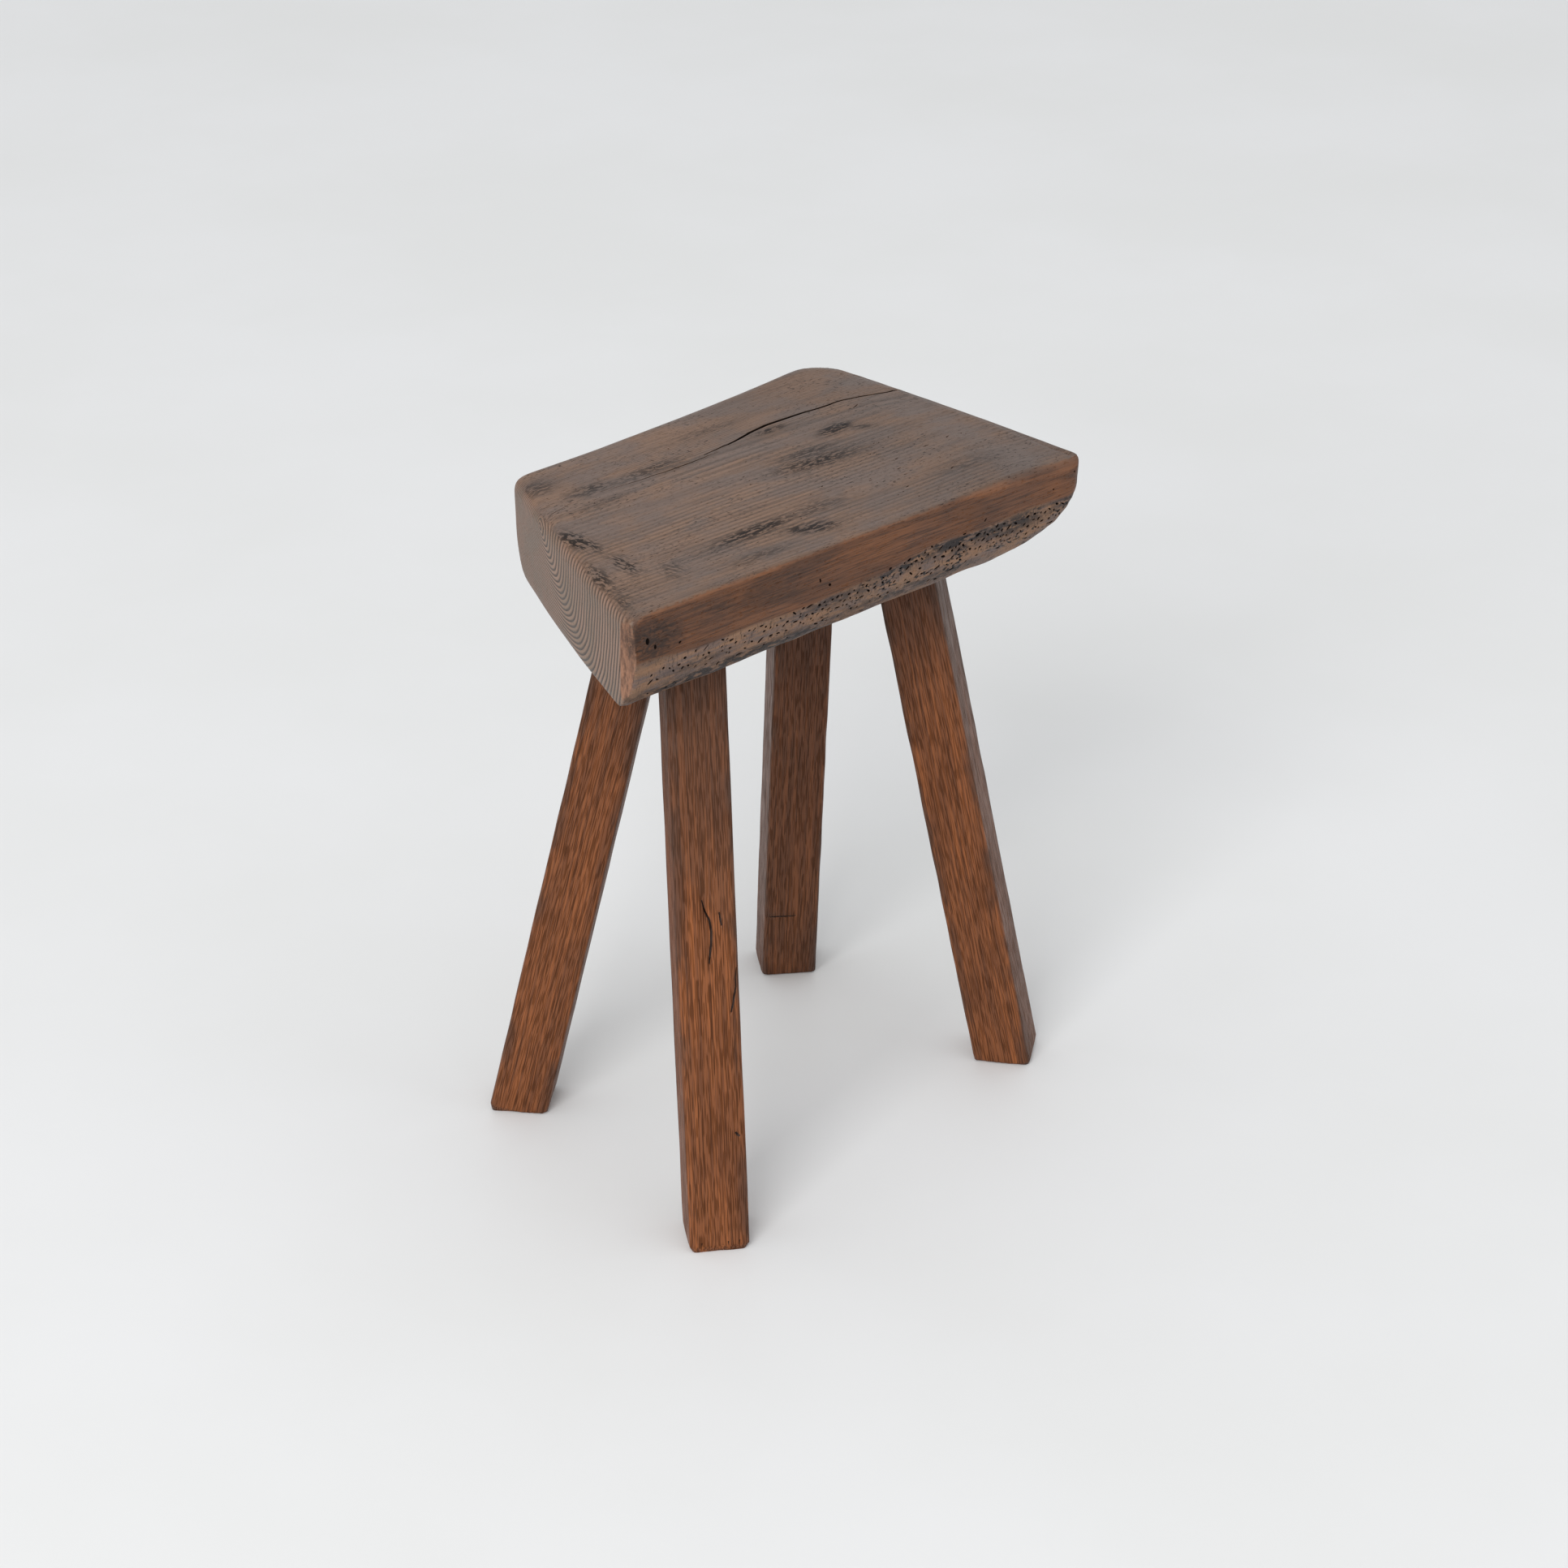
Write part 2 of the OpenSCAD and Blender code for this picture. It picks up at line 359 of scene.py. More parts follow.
def add_front_pits(shape, pits, skin, rng):
    """Old beetle pits, in drifts along the natural surface under the front band."""
    wanted = 560
    made = 0
    while made < wanted:
        along = rng.uniform(20, 392)
        # They thicken towards the right end
        if rng.random() > 0.08 + 0.92 * min(1, along / 240):
            continue
        drift = 20 + 12 * min(1, max(0, (along - 90) / 210))
        up = rng.normal(drift, 7)
        if not 2 < up < 31 + 6 * (along > 220) and rng.random() > 0.06:
            continue
        made += 1
        climb = rng.uniform(0.05, 0.35)
        out_of = Vector((rng.uniform(-0.1, 0.1), 1, climb)).normalized()
        place, out = ray_to_skin(skin, to_row(along, -40, up - 42 * climb), out_of)
        if place is None or out.y > -0.15:
            continue
        way = Vector((1, 0, rng.uniform(-0.9, 0.9)))
        long = rng.uniform(0.8, 1.7) * (1 + 0.8 * (rng.random() < 0.3))
        wide = rng.uniform(0.55, 1.05)
        add_pit(shape, pits, place, out, way, long * MM, wide * MM, rng.uniform(0.8, 1.8) * MM, rng)


def add_top_nicks(shape, pits, skin, rng):
    """Knocks in the seat's top: along, back, half length, turn from the grain in degrees."""
    nicks = [(345, 161.3, 5.0, 24), (317, 40, 2.6, 20), (273, 37, 2.2, 15), (330, 78, 3.0, 5),
             (352, 80, 2.2, 20), (290, 62, 2.6, 12), (300, 75, 1.8, 10), (262, 60, 2.0, 8),
             (286, 52, 1.7, 0), (232, 74, 1.5, 30), (205, 120, 1.6, 10), (118, 62, 1.4, 0)]
    loose = [(rng.uniform(60, 380), rng.uniform(12, 200), rng.uniform(0.5, 1.1), rng.uniform(-20, 60))
             for _ in range(46)]
    for along, back, half_long, turn in nicks + loose:
        place, out = ray_to_skin(skin, to_row(along, back, SEAT_TOP + 20), Vector((0, 0, -1)))
        if place is None or out.z < 0.8:
            continue
        way = Vector((math.cos(math.radians(turn)), math.sin(math.radians(turn)), 0))
        add_pit(shape, pits, place, out, way, half_long * MM, 0.5 * MM, 0.55 * MM, rng)


def add_band_nicks(shape, pits, skin, rng):
    """Knocks in the sawn band of the front face: along, up, half length, half width."""
    nicks = [(161.5, 45.7, 0.9, 1.7), (18, 48.5, 1.6, 2.6), (24, 43, 1.2, 1.8),
             (44, 40, 1.4, 0.9), (372, 48, 1.0, 0.7), (392, 55, 0.9, 0.9)]
    for along, up, half_long, half_wide in nicks:
        place, out = ray_to_skin(skin, to_row(along, -40, up), Vector((0, 1, 0)))
        size = (half_long * MM, half_wide * MM, 1.0 * MM)
        add_pit(shape, pits, place, out, Vector((1, 0, 0.2)), *size, rng)


def cut_pits(slab, skin):
    """Cuts every nick and pit of the seat; none of them touches another."""
    rng = np.random.default_rng(5)
    shape = bmesh.new()
    pits = []
    add_band_nicks(shape, pits, skin, rng)
    add_front_pits(shape, pits, skin, rng)
    add_top_nicks(shape, pits, skin, rng)
    carve(slab, cutter_of(shape, "pits"))


def growth_rings(q):
    """How many growth rings lie between the log's heart and each point."""
    heart_back = 162.0
    heart_up = 59.0
    ring_width = 2.1
    front_stretch = 2.17
    squareness = 3.2
    tilt = math.radians(12)
    y = heart_back - q[:, 1]
    z = q[:, 2] - heart_up
    forward = y * math.cos(tilt) - z * math.sin(tilt)
    across = y * math.sin(tilt) + z * math.cos(tilt)
    forward = np.where(forward > 0, forward / front_stretch, forward)
    swell = 1 + 0.03 * ripple(q, (160, 200, 200), 11)
    reach = (np.abs(forward) ** squareness + np.abs(across) ** squareness + 1e-6) ** (1 / squareness)
    return reach * swell / ring_width + 0.16 * ripple(q, (60, 14, 14), 12)


# Dark marks on the top: strength, along, back, half length, half width, turn in degrees
STAINS_WITH_GRAIN = [
    (1.00, 306, 141, 17, 7, 8),
    (0.55, 322, 132, 12, 5, -25),
    (0.70, 258, 108, 40, 11, -4),
    (0.55, 262, 122, 30, 8, 0),
    (0.80, 150, 50, 40, 8, 4),
    (0.85, 182, 30, 20, 9, -20),
    (0.45, 205, 52, 34, 10, 0),
    (0.45, 128, 20, 30, 7, 0),
    (0.75, 272, 168, 16, 4, 0),
    (0.55, 165, 170, 40, 7, 4),
    (0.60, 118, 172, 22, 8, 0),
    (0.50, 94, 196, 14, 12, 0),
    (0.35, 330, 38, 34, 9, 0),
    (0.30, 230, 196, 40, 8, 0),
    (0.40, 110, 150, 26, 6, 0),
]
STAINS_ACROSS_GRAIN = [
    (1.00, 58, 112, 22, 8, 88),
    (0.75, 56, 66, 18, 8, 80),
    (0.70, 32, 62, 24, 8, 70),
    (0.45, 74, 40, 16, 9, 60),
    (0.45, 20, 24, 14, 7, 60),
]
# Bluish black patches on the natural surface: strength, along, up, half length, half height
WANE_STAINS = [
    (0.9, 235, 35, 36, 6),
    (1.0, 285, 37, 34, 8),
    (0.9, 335, 34, 36, 8),
    (0.7, 180, 28, 40, 5),
    (1.2, 100, 9, 100, 6.0),
    (0.8, 240, 14, 70, 5),
    (0.7, 380, 40, 16, 9),
    (0.6, 60, 20, 30, 4),
]


def front_spot(q, along, up, half_long, half_high):
    """A soft oval on the seat's front, 1 in its middle."""
    a = (q[:, 0] - along) / half_long
    b = (q[:, 2] - up) / half_high
    return np.exp(-(a ** 2 + b ** 2) ** 1.5)


def strongest(q, marks, shape):
    """How dark the marks are at each point; where they overlap, the strongest one counts."""
    return np.maximum.reduce([strength * shape(q, *measures) for strength, *measures in marks])


def seat_fields(mesh, skin):
    """Stores what the seat's material needs to know at each point."""
    depth, way = depth_below(mesh, skin)
    q = (places(mesh) - np.array(SEAT_ZERO)) / MM
    wane = front_wane(q) * smoothstep(0.15, -0.15, way[:, 2] - 0.25)
    on_top = smoothstep(0.45, 0.9, way[:, 2])
    store(mesh, "depth", depth)
    store(mesh, "rings", growth_rings(q))
    store(mesh, "on_top", on_top)
    store(mesh, "end_grain", smoothstep(0.45, 0.75, np.abs(way[:, 0])))
    store(mesh, "wane", wane * smoothstep(0.75, 0.5, -way[:, 0]))
    flat = smoothstep(-0.35, 0.0, over_corner(places(mesh))[0] / MM)
    store(mesh, "flat", flat * smoothstep(0.9, 0.6, np.abs(way[:, 2])))
    store(mesh, "stain", strongest(q, STAINS_WITH_GRAIN, spot) * on_top)
    store(mesh, "hatch", strongest(q, STAINS_ACROSS_GRAIN, spot) * on_top)
    store(mesh, "blue", strongest(q, WANE_STAINS, front_spot) * wane)
    store(mesh, "pitted", smoothstep(50, 210, q[:, 0]))
    # Painted shade: the top is darker to the right, away from the key light, and along the front
    store(mesh, "top_shade", 0.26 * smoothstep(200, 330, q[:, 0]) + 0.14 * smoothstep(45, 15, q[:, 1]))
    knot = front_spot(q, 24, 48, 24, 15)
    sooty = 0.4 * front_spot(q, 95, 52, 75, 14)
    store(mesh, "knot", np.maximum(knot, sooty) * smoothstep(12, 4, q[:, 1]))
    # The lighter edge is partly wear and partly a painted highlight, mostly along the front
    edge = smoothstep(0.12, 0.45, way[:, 2]) * smoothstep(0.97, 0.75, way[:, 2])
    store(mesh, "edge", edge * (0.3 + 0.7 * smoothstep(14, 5, q[:, 1])))


def make_seat():
    """The visible slab: the CAD seat with its wear, splits and pits."""
    slab = cad_copy("seat", "seat_slab")
    remesh(slab, 1.5 * MM)
    sculpt_slab(slab.data)
    skin = skin_of(slab)
    cut_splits(slab)
    cut_pits(slab, skin)
    seat_fields(slab.data, skin)
    shade(slab.data)
    return slab


# ---------- the legs' shape ----------

def leg_axes(mesh):
    """The middle of the foot, and the leg's three directions: two across it and one along it."""
    feet = [v.co for v in mesh.vertices if v.co.z < 0.01 * MM]
    tips = [v.co for v in mesh.vertices if v.co.z > SEAT_LO.z + 20 * MM]
    foot = sum(feet, Vector()) / len(feet)
    along = (sum(tips, Vector()) / len(tips) - foot).normalized()
    sides = [mesh.vertices[e.vertices[1]].co - mesh.vertices[e.vertices[0]].co for e in mesh.edges
             if all(mesh.vertices[k].co.z < 0.01 * MM for k in e.vertices)]
    # Only a whole side is about this long; a triangle's diagonal is longer
    whole_side = 34 * MM
    side = min(sides, key=lambda s: abs(s.length - whole_side))
    across = (side - along * side.dot(along)).normalized()
    return foot, across, along.cross(across), along


def slice_leg(mesh, foot, axes):
    """Cuts a leg's long faces into small ones, so that they can be shaped."""
    shape = bmesh.new()
    shape.from_mesh(mesh)
    cuts = [(axes[2], s * MM) for s in np.arange(0.6, 460, 5.0)]
    cuts += [(axes[2], s * MM) for s in (1.4, 2.4, 3.6)]
    cuts += [(axes[k], s * MM) for k in (0, 1) for s in (-17, -15, -12, -8, -4, 0, 4, 8, 12, 15, 17)]
    for way, place in cuts:
        everything = shape.verts[:] + shape.edges[:] + shape.faces[:]
        bmesh.ops.bisect_plane(shape, geom=everything, plane_co=foot + way * place, plane_no=way)
    shape.to_mesh(mesh)
    shape.free()


def clean(mesh):
    """Merges points that lie together, and drops the faces that this leaves without area."""
    shape = bmesh.new()
    shape.from_mesh(mesh)
    bmesh.ops.remove_doubles(shape, verts=shape.verts, dist=0.01 * MM)
    bmesh.ops.dissolve_degenerate(shape, dist=0.01 * MM, edges=shape.edges)
    shape.to_mesh(mesh)
    shape.free()


def wear_leg(mesh, foot, axes, seed):
    """Planing marks, worn edges and a rounded foot, all of them inward."""
    co = places(mesh)
    basis = np.array([list(a) for a in axes])
    q = (co - np.array(foot)) @ basis.T / MM
    beyond_tenon = 14.5
    near_face = 10
    shaft = np.maximum(np.abs(q[:, 0]), np.abs(q[:, 1])) > beyond_tenon
    wave = [0.08 * (1 + ripple(q, (30, 30, 90), seed + k)) for k in (0, 1)]
    corner = smoothstep(12, 19.5, np.minimum(np.abs(q[:, 0]), np.abs(q[:, 1])))
    worn = corner * np.maximum(0.10 + 0.35 * ripple(q, (60, 60, 24), seed + 8), 0)
    height = co[:, 2] / MM
    round_r = 2.0
    foot_in = round_r - np.sqrt(np.maximum(round_r ** 2 - np.maximum(round_r - height, 0) ** 2, 0))
    foot_in *= 1 + 0.15 * ripple(q, (8, 8, 60), seed + 9)
    for k in (0, 1):
        inward = (wave[k] + worn + foot_in) * shaft
        q[:, k] -= np.sign(q[:, k]) * np.minimum(inward, np.abs(q[:, k])) * (np.abs(q[:, k]) > near_face)
    moved = q * MM @ basis + np.array(foot)
    moved[:, 2] = np.where(height < 0.01, co[:, 2], np.maximum(moved[:, 2], 0))
    move_to(mesh, moved)


def leg_fields(mesh, foot, axes, skin, shift, shade_and_stain, stained):
    """Stores the place in the wood, a cut's depth, an edge's nearness, and how dark the wood is painted,
    with painted shade and a stain.
    """
    co = places(mesh)
    basis = np.array([list(a) for a in axes])
    q = (co - np.array(foot)) @ basis.T / MM
    depth, way = depth_below(mesh, skin)
    store(mesh, "grain", q * MM + np.array(shift))
    # The faces turned to the right, away from the key light, get painted shade, and a stain may end on a
    # slant down the leg
    to_right = (0.74, -0.67, 0)
    right = (co - np.array(foot) - np.outer(q[:, 2] * MM, list(axes[2]))) @ to_right / MM
    slant = smoothstep(-7, 7, q[:, 2] - 240 + 1.6 * right)
    right_side_shade = 0.35 * smoothstep(0.3, 0.7, way[:, 0])
    store(mesh, "shade_and_stain", np.clip(shade_and_stain + right_side_shade + stained * slant, 0, 0.8))
    store(mesh, "depth", depth)
    store(mesh, "edge", smoothstep(11, 19, np.minimum(np.abs(q[:, 0]), np.abs(q[:, 1]))))


def split_leg(leg, foot, axes, splits):
    """Cuts splits into the face that looks to the front left.

    Each split has its points, right of the middle and up the leg, then its width and its depth.
    """
    front_left = Vector((-0.55, -0.83, 0))
    face_out = 19.7
    shape = bmesh.new()
    faces = [way * sign for way in axes[:2] for sign in (1, -1)]
    out = max(faces, key=lambda way: way.dot(front_left))
    side = axes[2].cross(out)
    for points, width, depth in splits:
        path = [foot + out * face_out * MM + side * a * MM + axes[2] * s * MM for a, s in points]
        widths = [width * MM * (0.35 + 0.65 * math.sin(math.pi * (k + 0.5) / len(path)))
                  for k in range(len(path))]
        add_groove(shape, path, out, widths, [depth * MM] * len(path))
    carve(leg, cutter_of(shape, "leg_splits"))


# Splits and chips in the front left leg
FRONT_LEG_SPLITS = [
    ([(-2.4, 237), (-1, 230), (2, 223), (3, 215), (2.5, 207), (1.5, 200), (0.7, 194)], 2.3, 2.4),
    ([(8.5, 228), (9.2, 223), (9.8, 219)], 2.0, 1.8),
    ([(18.3, 190), (17.4, 183), (17.6, 177), (16, 171), (15.2, 166), (13.6, 160)], 2.2, 2.0),
    ([(13, 78), (14.2, 76.5), (15.8, 75)], 2.6, 1.8),
    ([(-12, 3.2), (-12.4, -4)], 1.2, 0.9),
    ([(5.5, 3.0), (6, -4)], 1.5, 0.9),
    ([(13, 3.4), (13, -4)], 1.2, 1.0),
]
# A saw mark across the back right leg
BACK_LEG_SPLITS = [([(-19, 60), (-12, 60.6), (-4, 60.2), (3, 60.5)], 1.3, 0.8)]
SPLITS = {"front_left_leg": FRONT_LEG_SPLITS, "back_right_leg": BACK_LEG_SPLITS}


def make_leg(node, seed):
    """A visible leg: the CAD leg with its wear and splits, and its own run of the grain."""
    splits = SPLITS.get(node, ())
    leg = cad_copy(node, node.replace("_leg", "_leg_oak"))
    foot, *axes = leg_axes(leg.data)
    slice_leg(leg.data, foot, axes)
    clean(leg.data)
    wear_leg(leg.data, foot, axes, seed)
    clean(leg.data)
    skin = skin_of(leg)
    if splits:
        split_leg(leg, foot, axes, splits)
    shift = (seed * 0.37, seed * 0.11, seed * 0.53)
    # Each leg's painted shade goes in with its stain
    leg_fields(leg.data, foot, axes, skin, shift, LEG_SHADE[node], STAINED.get(node, 0))
    shade(leg.data, 50)
    return leg


# ---------- materials ----------

def colour(code):
    """A screen colour such as 8a4a24 as a linear colour."""
    parts = [int(code[k:k + 2], 16) / 255 for k in (0, 2, 4)]
    linear = [c / 12.92 if c <= 0.04045 else ((c + 0.055) / 1.055) ** 2.4 for c in parts]
    return (*linear, 1)


class Finish:
    """A node material, built up one step at a time."""

    def __init__(self, name):
        self.material = bpy.data.materials.new(name)
        self.material.use_nodes = True
        self.nodes = self.material.node_tree.nodes
        self.links = self.material.node_tree.links
        self.nodes.clear()
        self.surface = self.nodes.new("ShaderNodeBsdfPrincipled")
        output = self.nodes.new("ShaderNodeOutputMaterial")
        self.links.new(self.surface.outputs["BSDF"], output.inputs["Surface"])
        self.bumped = None

    def put(self, socket, value):
        """Links another socket to this one, or gives it a constant."""
        if isinstance(value, bpy.types.NodeSocket):
            self.links.new(value, socket)
        else:
            socket.default_value = value

    def place(self):
        """The place on the object, in metres."""
        return self.nodes.new("ShaderNodeTexCoord").outputs["Object"]

    def field(self, name, output="Fac"):
        """A value that store has kept in the mesh."""
        node = self.nodes.new("ShaderNodeAttribute")
        node.attribute_name = name
        return node.outputs[output]

    def math(self, operation, *values):
        node = self.nodes.new("ShaderNodeMath")
        node.operation = operation
        for socket, value in zip(node.inputs, values):
            self.put(socket, value)
        return node.outputs[0]

    def times(self, *values):
        """The values multiplied together."""
        result = values[0]
        for value in values[1:]:
            result = self.math("MULTIPLY", result, value)
        return result

    def noise(self, place, size, detail=2.0, roughness=0.5, distortion=0.0):
        """Noise whose grains are about size millimetres, one value per axis."""
        node = self.nodes.new("ShaderNodeVectorMath")
        node.operation = "DIVIDE"
        self.put(node.inputs[0], place)
        node.inputs[1].default_value = [s * MM for s in size]
        noise = self.nodes.new("ShaderNodeTexNoise")
        noise.inputs["Scale"].default_value = 1.0
        noise.inputs["Detail"].default_value = detail
        noise.inputs["Roughness"].default_value = roughness
        noise.inputs["Distortion"].default_value = distortion
        self.links.new(node.outputs[0], noise.inputs["Vector"])
        return noise.outputs["Fac"]

    def rise(self, value, low, high, start=0.0, end=1.0):
        """start below low, end above high, and a smooth change between them."""
        node = self.nodes.new("ShaderNodeMapRange")
        node.interpolation_type = "SMOOTHSTEP"
        self.put(node.inputs["Value"], value)
        node.inputs["From Min"].default_value = low
        node.inputs["From Max"].default_value = high
        node.inputs["To Min"].default_value = start
        node.inputs["To Max"].default_value = end
        return node.outputs["Result"]

    def mix(self, share, a, b):
        """Colour a where share is 0, and b where it is 1."""
        node = self.nodes.new("ShaderNodeMix")
        node.data_type = "RGBA"
        self.put(node.inputs["Factor"], share)
        self.put(node.inputs[6], a)
        self.put(node.inputs[7], b)
        return node.outputs[2]

    def bump(self, height, distance):
        """Adds relief of the given depth in millimetres on top of the relief so far."""
        node = self.nodes.new("ShaderNodeBump")
        node.inputs["Strength"].default_value = 1.0
        node.inputs["Distance"].default_value = distance * MM
        self.put(node.inputs["Height"], height)
        if self.bumped is not None:
            self.links.new(self.bumped, node.inputs["Normal"])
        self.bumped = node.outputs["Normal"]

    def finish(self, base, roughness, shine=0.3):
        """Connects everything to the surface, and gives the finished material."""
        self.put(self.surface.inputs["Specular IOR Level"], shine)
        self.put(self.surface.inputs["Base Color"], base)
        self.put(self.surface.inputs["Roughness"], roughness)
        if self.bumped is not None:
            self.links.new(self.bumped, self.surface.inputs["Normal"])
        return self.material


class SeatFinish(Finish):
    """The seat's material, with the fibres, pores and rings that its layers share."""

    def __init__(self, name):
        super().__init__(name)
        self.at = self.place()
        self.wane = self.field("wane")
        self.end = self.field("end_grain")
        self.fibre = self.noise(self.at, (70, 1.6, 1.6), 4, 0.6)
        self.cloud = self.noise(self.at, (55, 26, 26), 3, 0.55)
        self.pore = self.rise(self.noise(self.at, (4.2, 1.1, 1.1), 2, 0.6), 0.56, 0.66)
        late = self.math("FRACT", self.field("rings"))
        self.line = self.times(self.rise(late, 0.30, 0.75), self.rise(late, 1.0, 0.88))

    def inner_wood(self):
        """Brown wood with dark fibres, as the sawn faces show it."""
        fine_fibre = self.noise(self.at, (22, 0.7, 0.7), 3, 0.6)
        wood = self.mix(self.rise(self.fibre, 0.3, 0.7), colour("4c3021"), colour("6b4630"))
        wood = self.mix(self.rise(self.cloud, 0.35, 0.7, 0.0, 0.55), wood, colour("7c4c2a"))
        wood = self.mix(self.times(self.line, 0.35), wood, colour("3a281f"))
        return self.mix(self.times(self.rise(fine_fibre, 0.48, 0.62), 0.6), wood, colour("2c1e17"))

    def worn_and_sheen_top(self):
        """Wood greyed by wear and by a painted sheen, with ring lines and open pores, darker where the
        painted shade of the top lies.
        """
        # The grey here is partly wear and partly a painted sheen
        worn = self.mix(self.rise(self.cloud, 0.38, 0.62), colour("6f5b50"), colour("826551"))
        worn = self.mix(self.times(self.rise(self.fibre, 0.45, 0.65), 0.5), worn, colour("4d3c32"))
        lined = self.rise(self.noise(self.at, (90, 30, 30), 2, 0.5), 0.4, 0.6, 0.12, 0.5)
        worn = self.mix(self.times(self.line, lined), worn, colour("33271f"))
        marked = self.rise(self.noise(self.at, (60, 28, 28), 3, 0.6), 0.45, 0.58, 0.25, 0.9)
        worn = self.mix(self.times(self.pore, marked), worn, colour("241b17"))
        # Painted shade: darker to the right and along the front
        return self.mix(self.field("top_shade"), worn, colour("3a2f29"))

    def broken_mark(self, name, size, low, high, gain, rest):
        """How dark a stored stain is, once it is broken up by marks of the given size."""
        broken = self.rise(self.noise(self.at, size, 2, 0.6), low, high)
        mark = self.times(self.field(name), self.math("ADD", self.times(broken, gain), rest))
        return self.math("MINIMUM", mark, 0.9)

    def end_grain(self):
        """Pale end grain with a dark line to each ring."""
        wood = self.mix(self.rise(self.cloud, 0.35, 0.65), colour("78614f"), colour("8b7060"))
        return self.mix(self.times(self.line, 0.9), wood, colour("2f2620"))

    def corner_flat(self):
        """The worn flat at the front left corner."""
        rubbed = self.rise(self.noise(self.at, (3, 3, 9), 3, 0.6), 0.4, 0.62)
        return self.mix(rubbed, colour("8f6750"), colour("5f4335"))

    def natural_surface(self):
        """The natural surface under the front band: grey, scratched and blackened."""
        lumps = self.rise(self.noise(self.at, (26, 7, 7), 3, 0.6), 0.4, 0.62)
        bark = self.mix(lumps, colour("80624c"), colour("665650"))
        bark = self.mix(self.times(self.rise(self.fibre, 0.45, 0.65), 0.5), bark, colour("956f54"))
        scratch = self.rise(self.noise(self.at, (1.1, 5.5, 4.2), 2, 0.6), 0.56, 0.68)
        bark = self.mix(self.times(scratch, 0.6), bark, colour("231c1a"))
        patchy = self.rise(self.noise(self.at, (30, 12, 10), 2, 0.5), 0.42, 0.58)
        speckle = self.rise(self.noise(self.at, (4.0, 1.9, 1.9), 1, 0.5), 0.56, 0.62)
        bark = self.mix(self.times(speckle, patchy, self.field("pitted")), bark, colour("17110f"))
        torn = self.rise(self.noise(self.at, (8, 2.6, 2.6), 3, 0.6), 0.38, 0.54)
        blue = self.times(self.field("blue"), self.math("ADD", self.times(torn, 0.8), 0.2))
        return self.mix(self.math("MINIMUM", blue, 0.93), bark, colour("19181b"))

    def knot_and_edges(self, wood):
        """The scorched knot at the left of the front, and the warm edges, worn and with a painted
        highlight.
        """
        swirl = self.rise(self.noise(self.at, (9, 4, 4), 4, 0.7, 1.5), 0.38, 0.62)
        knot = self.times(self.field("knot"), self.math("ADD", self.times(swirl, 0.6), 0.45))
        wood = self.mix(self.math("MINIMUM", knot, 0.85), wood, colour("1f1612"))
        # The warm edge line: wear with a painted highlight
        edge = self.times(self.field("edge"), self.rise(self.cloud, 0.3, 0.6, 0.05, 0.32))
        return self.mix(edge, wood, colour("8f6247"))

    def relief(self):
        """Raised fibres, sunk rings and pores, and the natural surface's roughness."""
        ring_depth = self.math("ADD", self.times(self.end, 0.9), 0.1)
        rough = self.noise(self.at, (1.6, 2.6, 2.6), 4, 0.65)
        self.bump(self.fibre, 0.16)
        self.bump(self.math("SUBTRACT", 1.0, self.times(self.line, ring_depth)), 0.18)
        self.bump(self.math("SUBTRACT", 1.0, self.pore), 0.08)
        self.bump(self.times(rough, self.wane), 0.9)


def seat_material():
    """The old slab's wood; the painted shade in the pits and cuts comes last."""
    m = SeatFinish("old_seat_wood")
    # The top is greyed by wear and by a painted sheen
    wood = m.mix(m.times(m.field("on_top"), 0.9), m.inner_wood(), m.worn_and_sheen_top())
    stain = m.broken_mark("stain", (7, 2.2, 2.2), 0.44, 0.53, 0.95, 0.35)
    wood = m.mix(stain, wood, colour("171415"))
    hatch = m.broken_mark("hatch", (2.2, 7, 2), 0.46, 0.54, 1.1, 0.15)
    wood = m.mix(hatch, wood, colour("171413"))
    wood = m.mix(m.times(m.end, 0.95), wood, m.end_grain())
    wood = m.mix(m.times(m.field("flat"), 0.9), wood, m.corner_flat())
    wood = m.mix(m.wane, wood, m.natural_surface())
    wood = m.knot_and_edges(wood)
    # Painted shade: near-black in the pits and splits, darker the deeper they go
    recess_shade = m.rise(m.field("depth"), 0.08, 0.5, 0.0, 0.97)
    wood = m.mix(recess_shade, wood, colour("0c0807"))
    m.relief()
    gloss = m.math("ADD", m.rise(m.cloud, 0.3, 0.7, 0.42, 0.52), m.times(m.wane, 0.08))
    marks = m.math("MAXIMUM", stain, hatch)
    dull = m.math("MAXIMUM", marks, m.math("MAXIMUM", recess_shade, m.times(m.pore, 0.7)))
    return m.finish(wood, m.math("ADD", gloss, m.times(recess_shade, 0.3)), m.rise(dull, 0.0, 1.0, 0.30, 0.06))


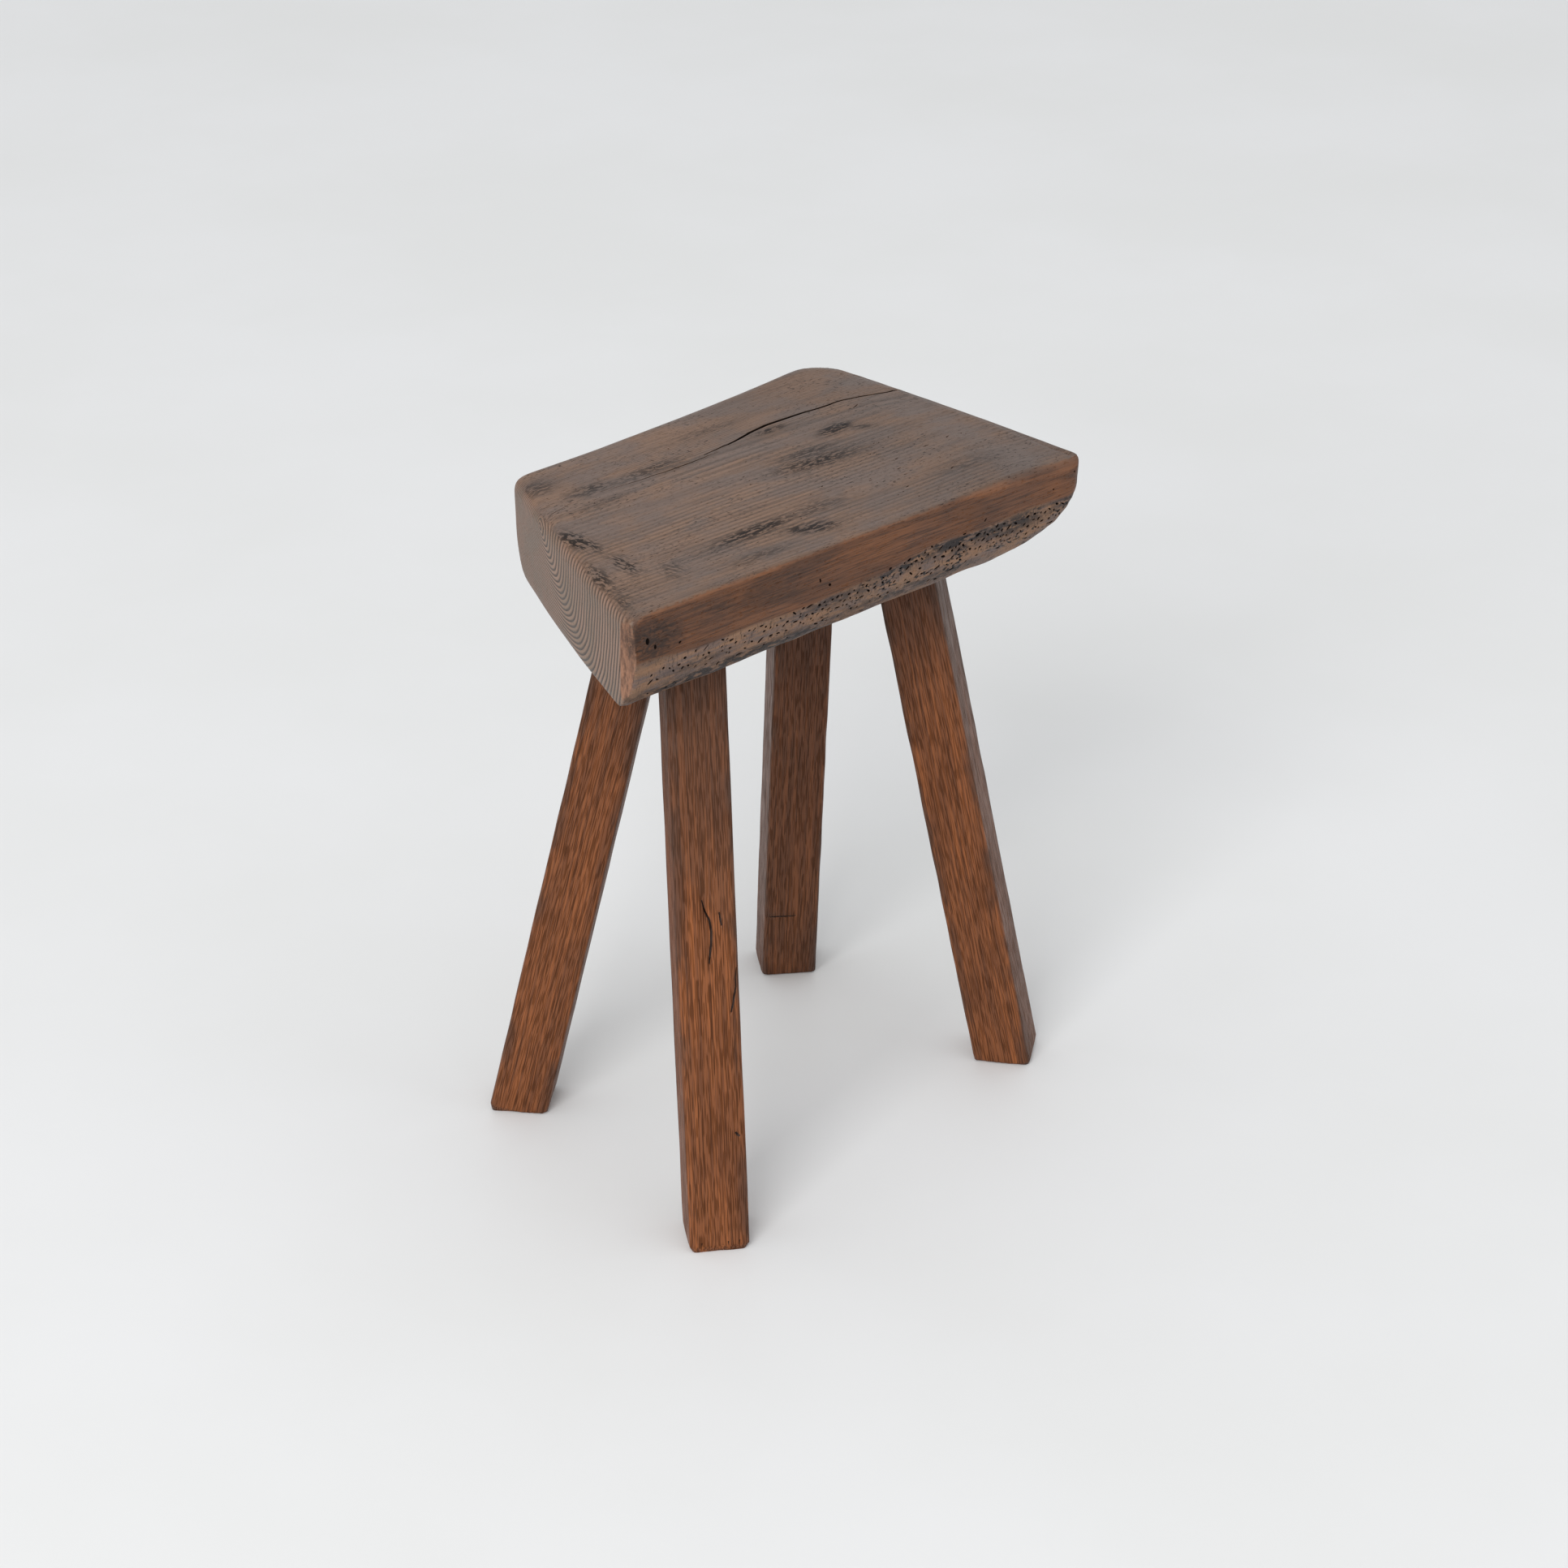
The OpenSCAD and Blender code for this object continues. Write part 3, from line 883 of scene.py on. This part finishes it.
def oak_material():
    """Stained oak with long open pores, dirtier at its edges, with painted shade up under the seat."""
    m = Finish("stained_oak")
    grain = m.field("grain", "Vector")
    height = m.nodes.new("ShaderNodeSeparateXYZ")
    m.links.new(m.place(), height.inputs[0])

    band = m.noise(grain, (3.2, 3.2, 190), 2, 0.5, 0.4)
    fibre = m.noise(grain, (0.85, 0.85, 90), 2, 0.5)
    dash = m.rise(m.noise(grain, (0.7, 0.7, 13), 0, 0.5), 0.46, 0.62)
    pore = m.times(dash, m.rise(band, 0.35, 0.6, 0.7, 1.0))
    cloud = m.noise(grain, (18, 18, 60), 3, 0.6)

    wood = m.mix(m.rise(band, 0.35, 0.65), colour("90532a"), colour("7c4826"))
    wood = m.mix(m.rise(cloud, 0.40, 0.68, 0.0, 0.4), wood, colour("5a3219"))
    wood = m.mix(m.times(m.rise(fibre, 0.45, 0.58), 0.55), wood, colour("4d2a16"))
    wood = m.mix(m.times(pore, 0.55), wood, colour("2a180f"))

    grime = m.times(m.field("edge"), m.rise(cloud, 0.42, 0.6, 0.05, 0.6))
    wood = m.mix(grime, wood, colour("3c2c24"))
    # Painted shade: the leg darkens towards the seat's underside
    under = m.rise(height.outputs["Z"], SEAT_LO.z - 150 * MM, SEAT_LO.z - 20 * MM, 0.0, 0.5)
    wood = m.mix(under, wood, colour("3a271d"))
    # Painted shade on the legs in the seat's shadow and on the faces turned from the key light, with the
    # stain on the front left leg
    wood = m.mix(m.field("shade_and_stain"), wood, colour("3d2c22"))
    # Painted shade in the splits, darker the deeper they go
    recess_shade = m.rise(m.field("depth"), 0.15, 0.8, 0.0, 0.92)
    wood = m.mix(recess_shade, wood, colour("1d1410"))

    m.bump(m.math("SUBTRACT", 1.0, pore), 0.16)
    m.bump(fibre, 0.06)
    gloss = m.rise(cloud, 0.3, 0.7, 0.40, 0.50)
    return m.finish(wood, m.math("ADD", gloss, m.times(pore, 0.15)), m.rise(pore, 0.0, 1.0, 0.30, 0.10))


def wedge_material():
    """Raw split wood."""
    m = Finish("raw_wedge_wood")
    place = m.place()
    fibre = m.noise(place, (0.8, 0.8, 14), 3, 0.6)
    wood = m.mix(m.rise(fibre, 0.35, 0.65), colour("a87c4c"), colour("c49a66"))
    m.bump(fibre, 0.1)
    return m.finish(wood, m.rise(fibre, 0.3, 0.7, 0.6, 0.75))


def floor_material():
    """A pale, slightly cloudy floor."""
    m = Finish("pale_floor")
    place = m.place()
    cloud = m.noise(place, (420, 420, 420), 4, 0.55)
    paint = m.mix(m.rise(cloud, 0.3, 0.7), colour("e3e3e2"), colour("e6e6e6"))
    m.bump(m.noise(place, (60, 60, 60), 3, 0.5), 0.25)
    return m.finish(paint, 0.55)


def dress(piece, material):
    """Gives the piece this material and no other."""
    piece.data.materials.clear()
    piece.data.materials.append(material)


# ---------- the room ----------

def make_floor():
    """A wide floor under the stool; it is part of the room."""
    half_side = 9.0
    shape = bmesh.new()
    bmesh.ops.create_grid(shape, x_segments=8, y_segments=8, size=half_side)
    mesh = bpy.data.meshes.new("floor")
    shape.to_mesh(mesh)
    shape.free()
    floor = linked("floor", mesh)
    dress(floor, floor_material())


def add_light(name, away, side, power):
    """A square soft light, away from the stool's middle, that looks at it."""
    data = bpy.data.lights.new(name, "AREA")
    data.shape = "SQUARE"
    data.size = side
    data.energy = power
    light = bpy.data.objects.new(name, data)
    SCENE.collection.objects.link(light)
    target = Vector((0, 0, 0.3))
    light.location = target + Vector(away)
    light.rotation_mode = "QUATERNION"
    light.rotation_quaternion = (target - light.location).to_track_quat("-Z", "Y")


def make_light():
    """A bright even room, and one large light from the front left."""
    world = bpy.data.worlds.new("studio")
    world.use_nodes = True
    background = world.node_tree.nodes["Background"]
    background.inputs["Color"].default_value = (0.97, 0.985, 1.0, 1)
    background.inputs["Strength"].default_value = 0.81
    SCENE.world = world
    add_light("key", (-5.1, -2.6, 3.6), 3.3, 265)


def make_camera():
    """Looks 27 degrees down at the stool, from beyond its front left corner."""
    heading = math.radians(-42.75)
    # From straight down
    pitch = math.radians(63)
    roll = math.radians(0.145)
    data = bpy.data.cameras.new("camera")
    data.sensor_width = 36
    data.lens = 93.17
    camera = bpy.data.objects.new("camera", data)
    SCENE.collection.objects.link(camera)
    camera.location = (-1.6376, -1.8028, 1.4817)
    camera.rotation_mode = "QUATERNION"
    turn = Matrix.Rotation(heading, 3, "Z") @ Matrix.Rotation(pitch, 3, "X") @ Matrix.Rotation(roll, 3, "Z")
    camera.rotation_quaternion = turn.to_quaternion()
    SCENE.camera = camera


make_camera()
make_light()
make_floor()
SCENE.view_settings.view_transform = "Standard"

seat_wood = seat_material()
oak = oak_material()
wedge_wood = wedge_material()

slab = make_seat()
dress(slab, seat_wood)
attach(slab, "root")
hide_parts("seat")

for number, node in enumerate(LEGS):
    leg = make_leg(node, 3 + number)
    dress(leg, oak)
    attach(leg, "root")
    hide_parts(node)

for node in WEDGES:
    dress(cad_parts[node], wedge_wood)
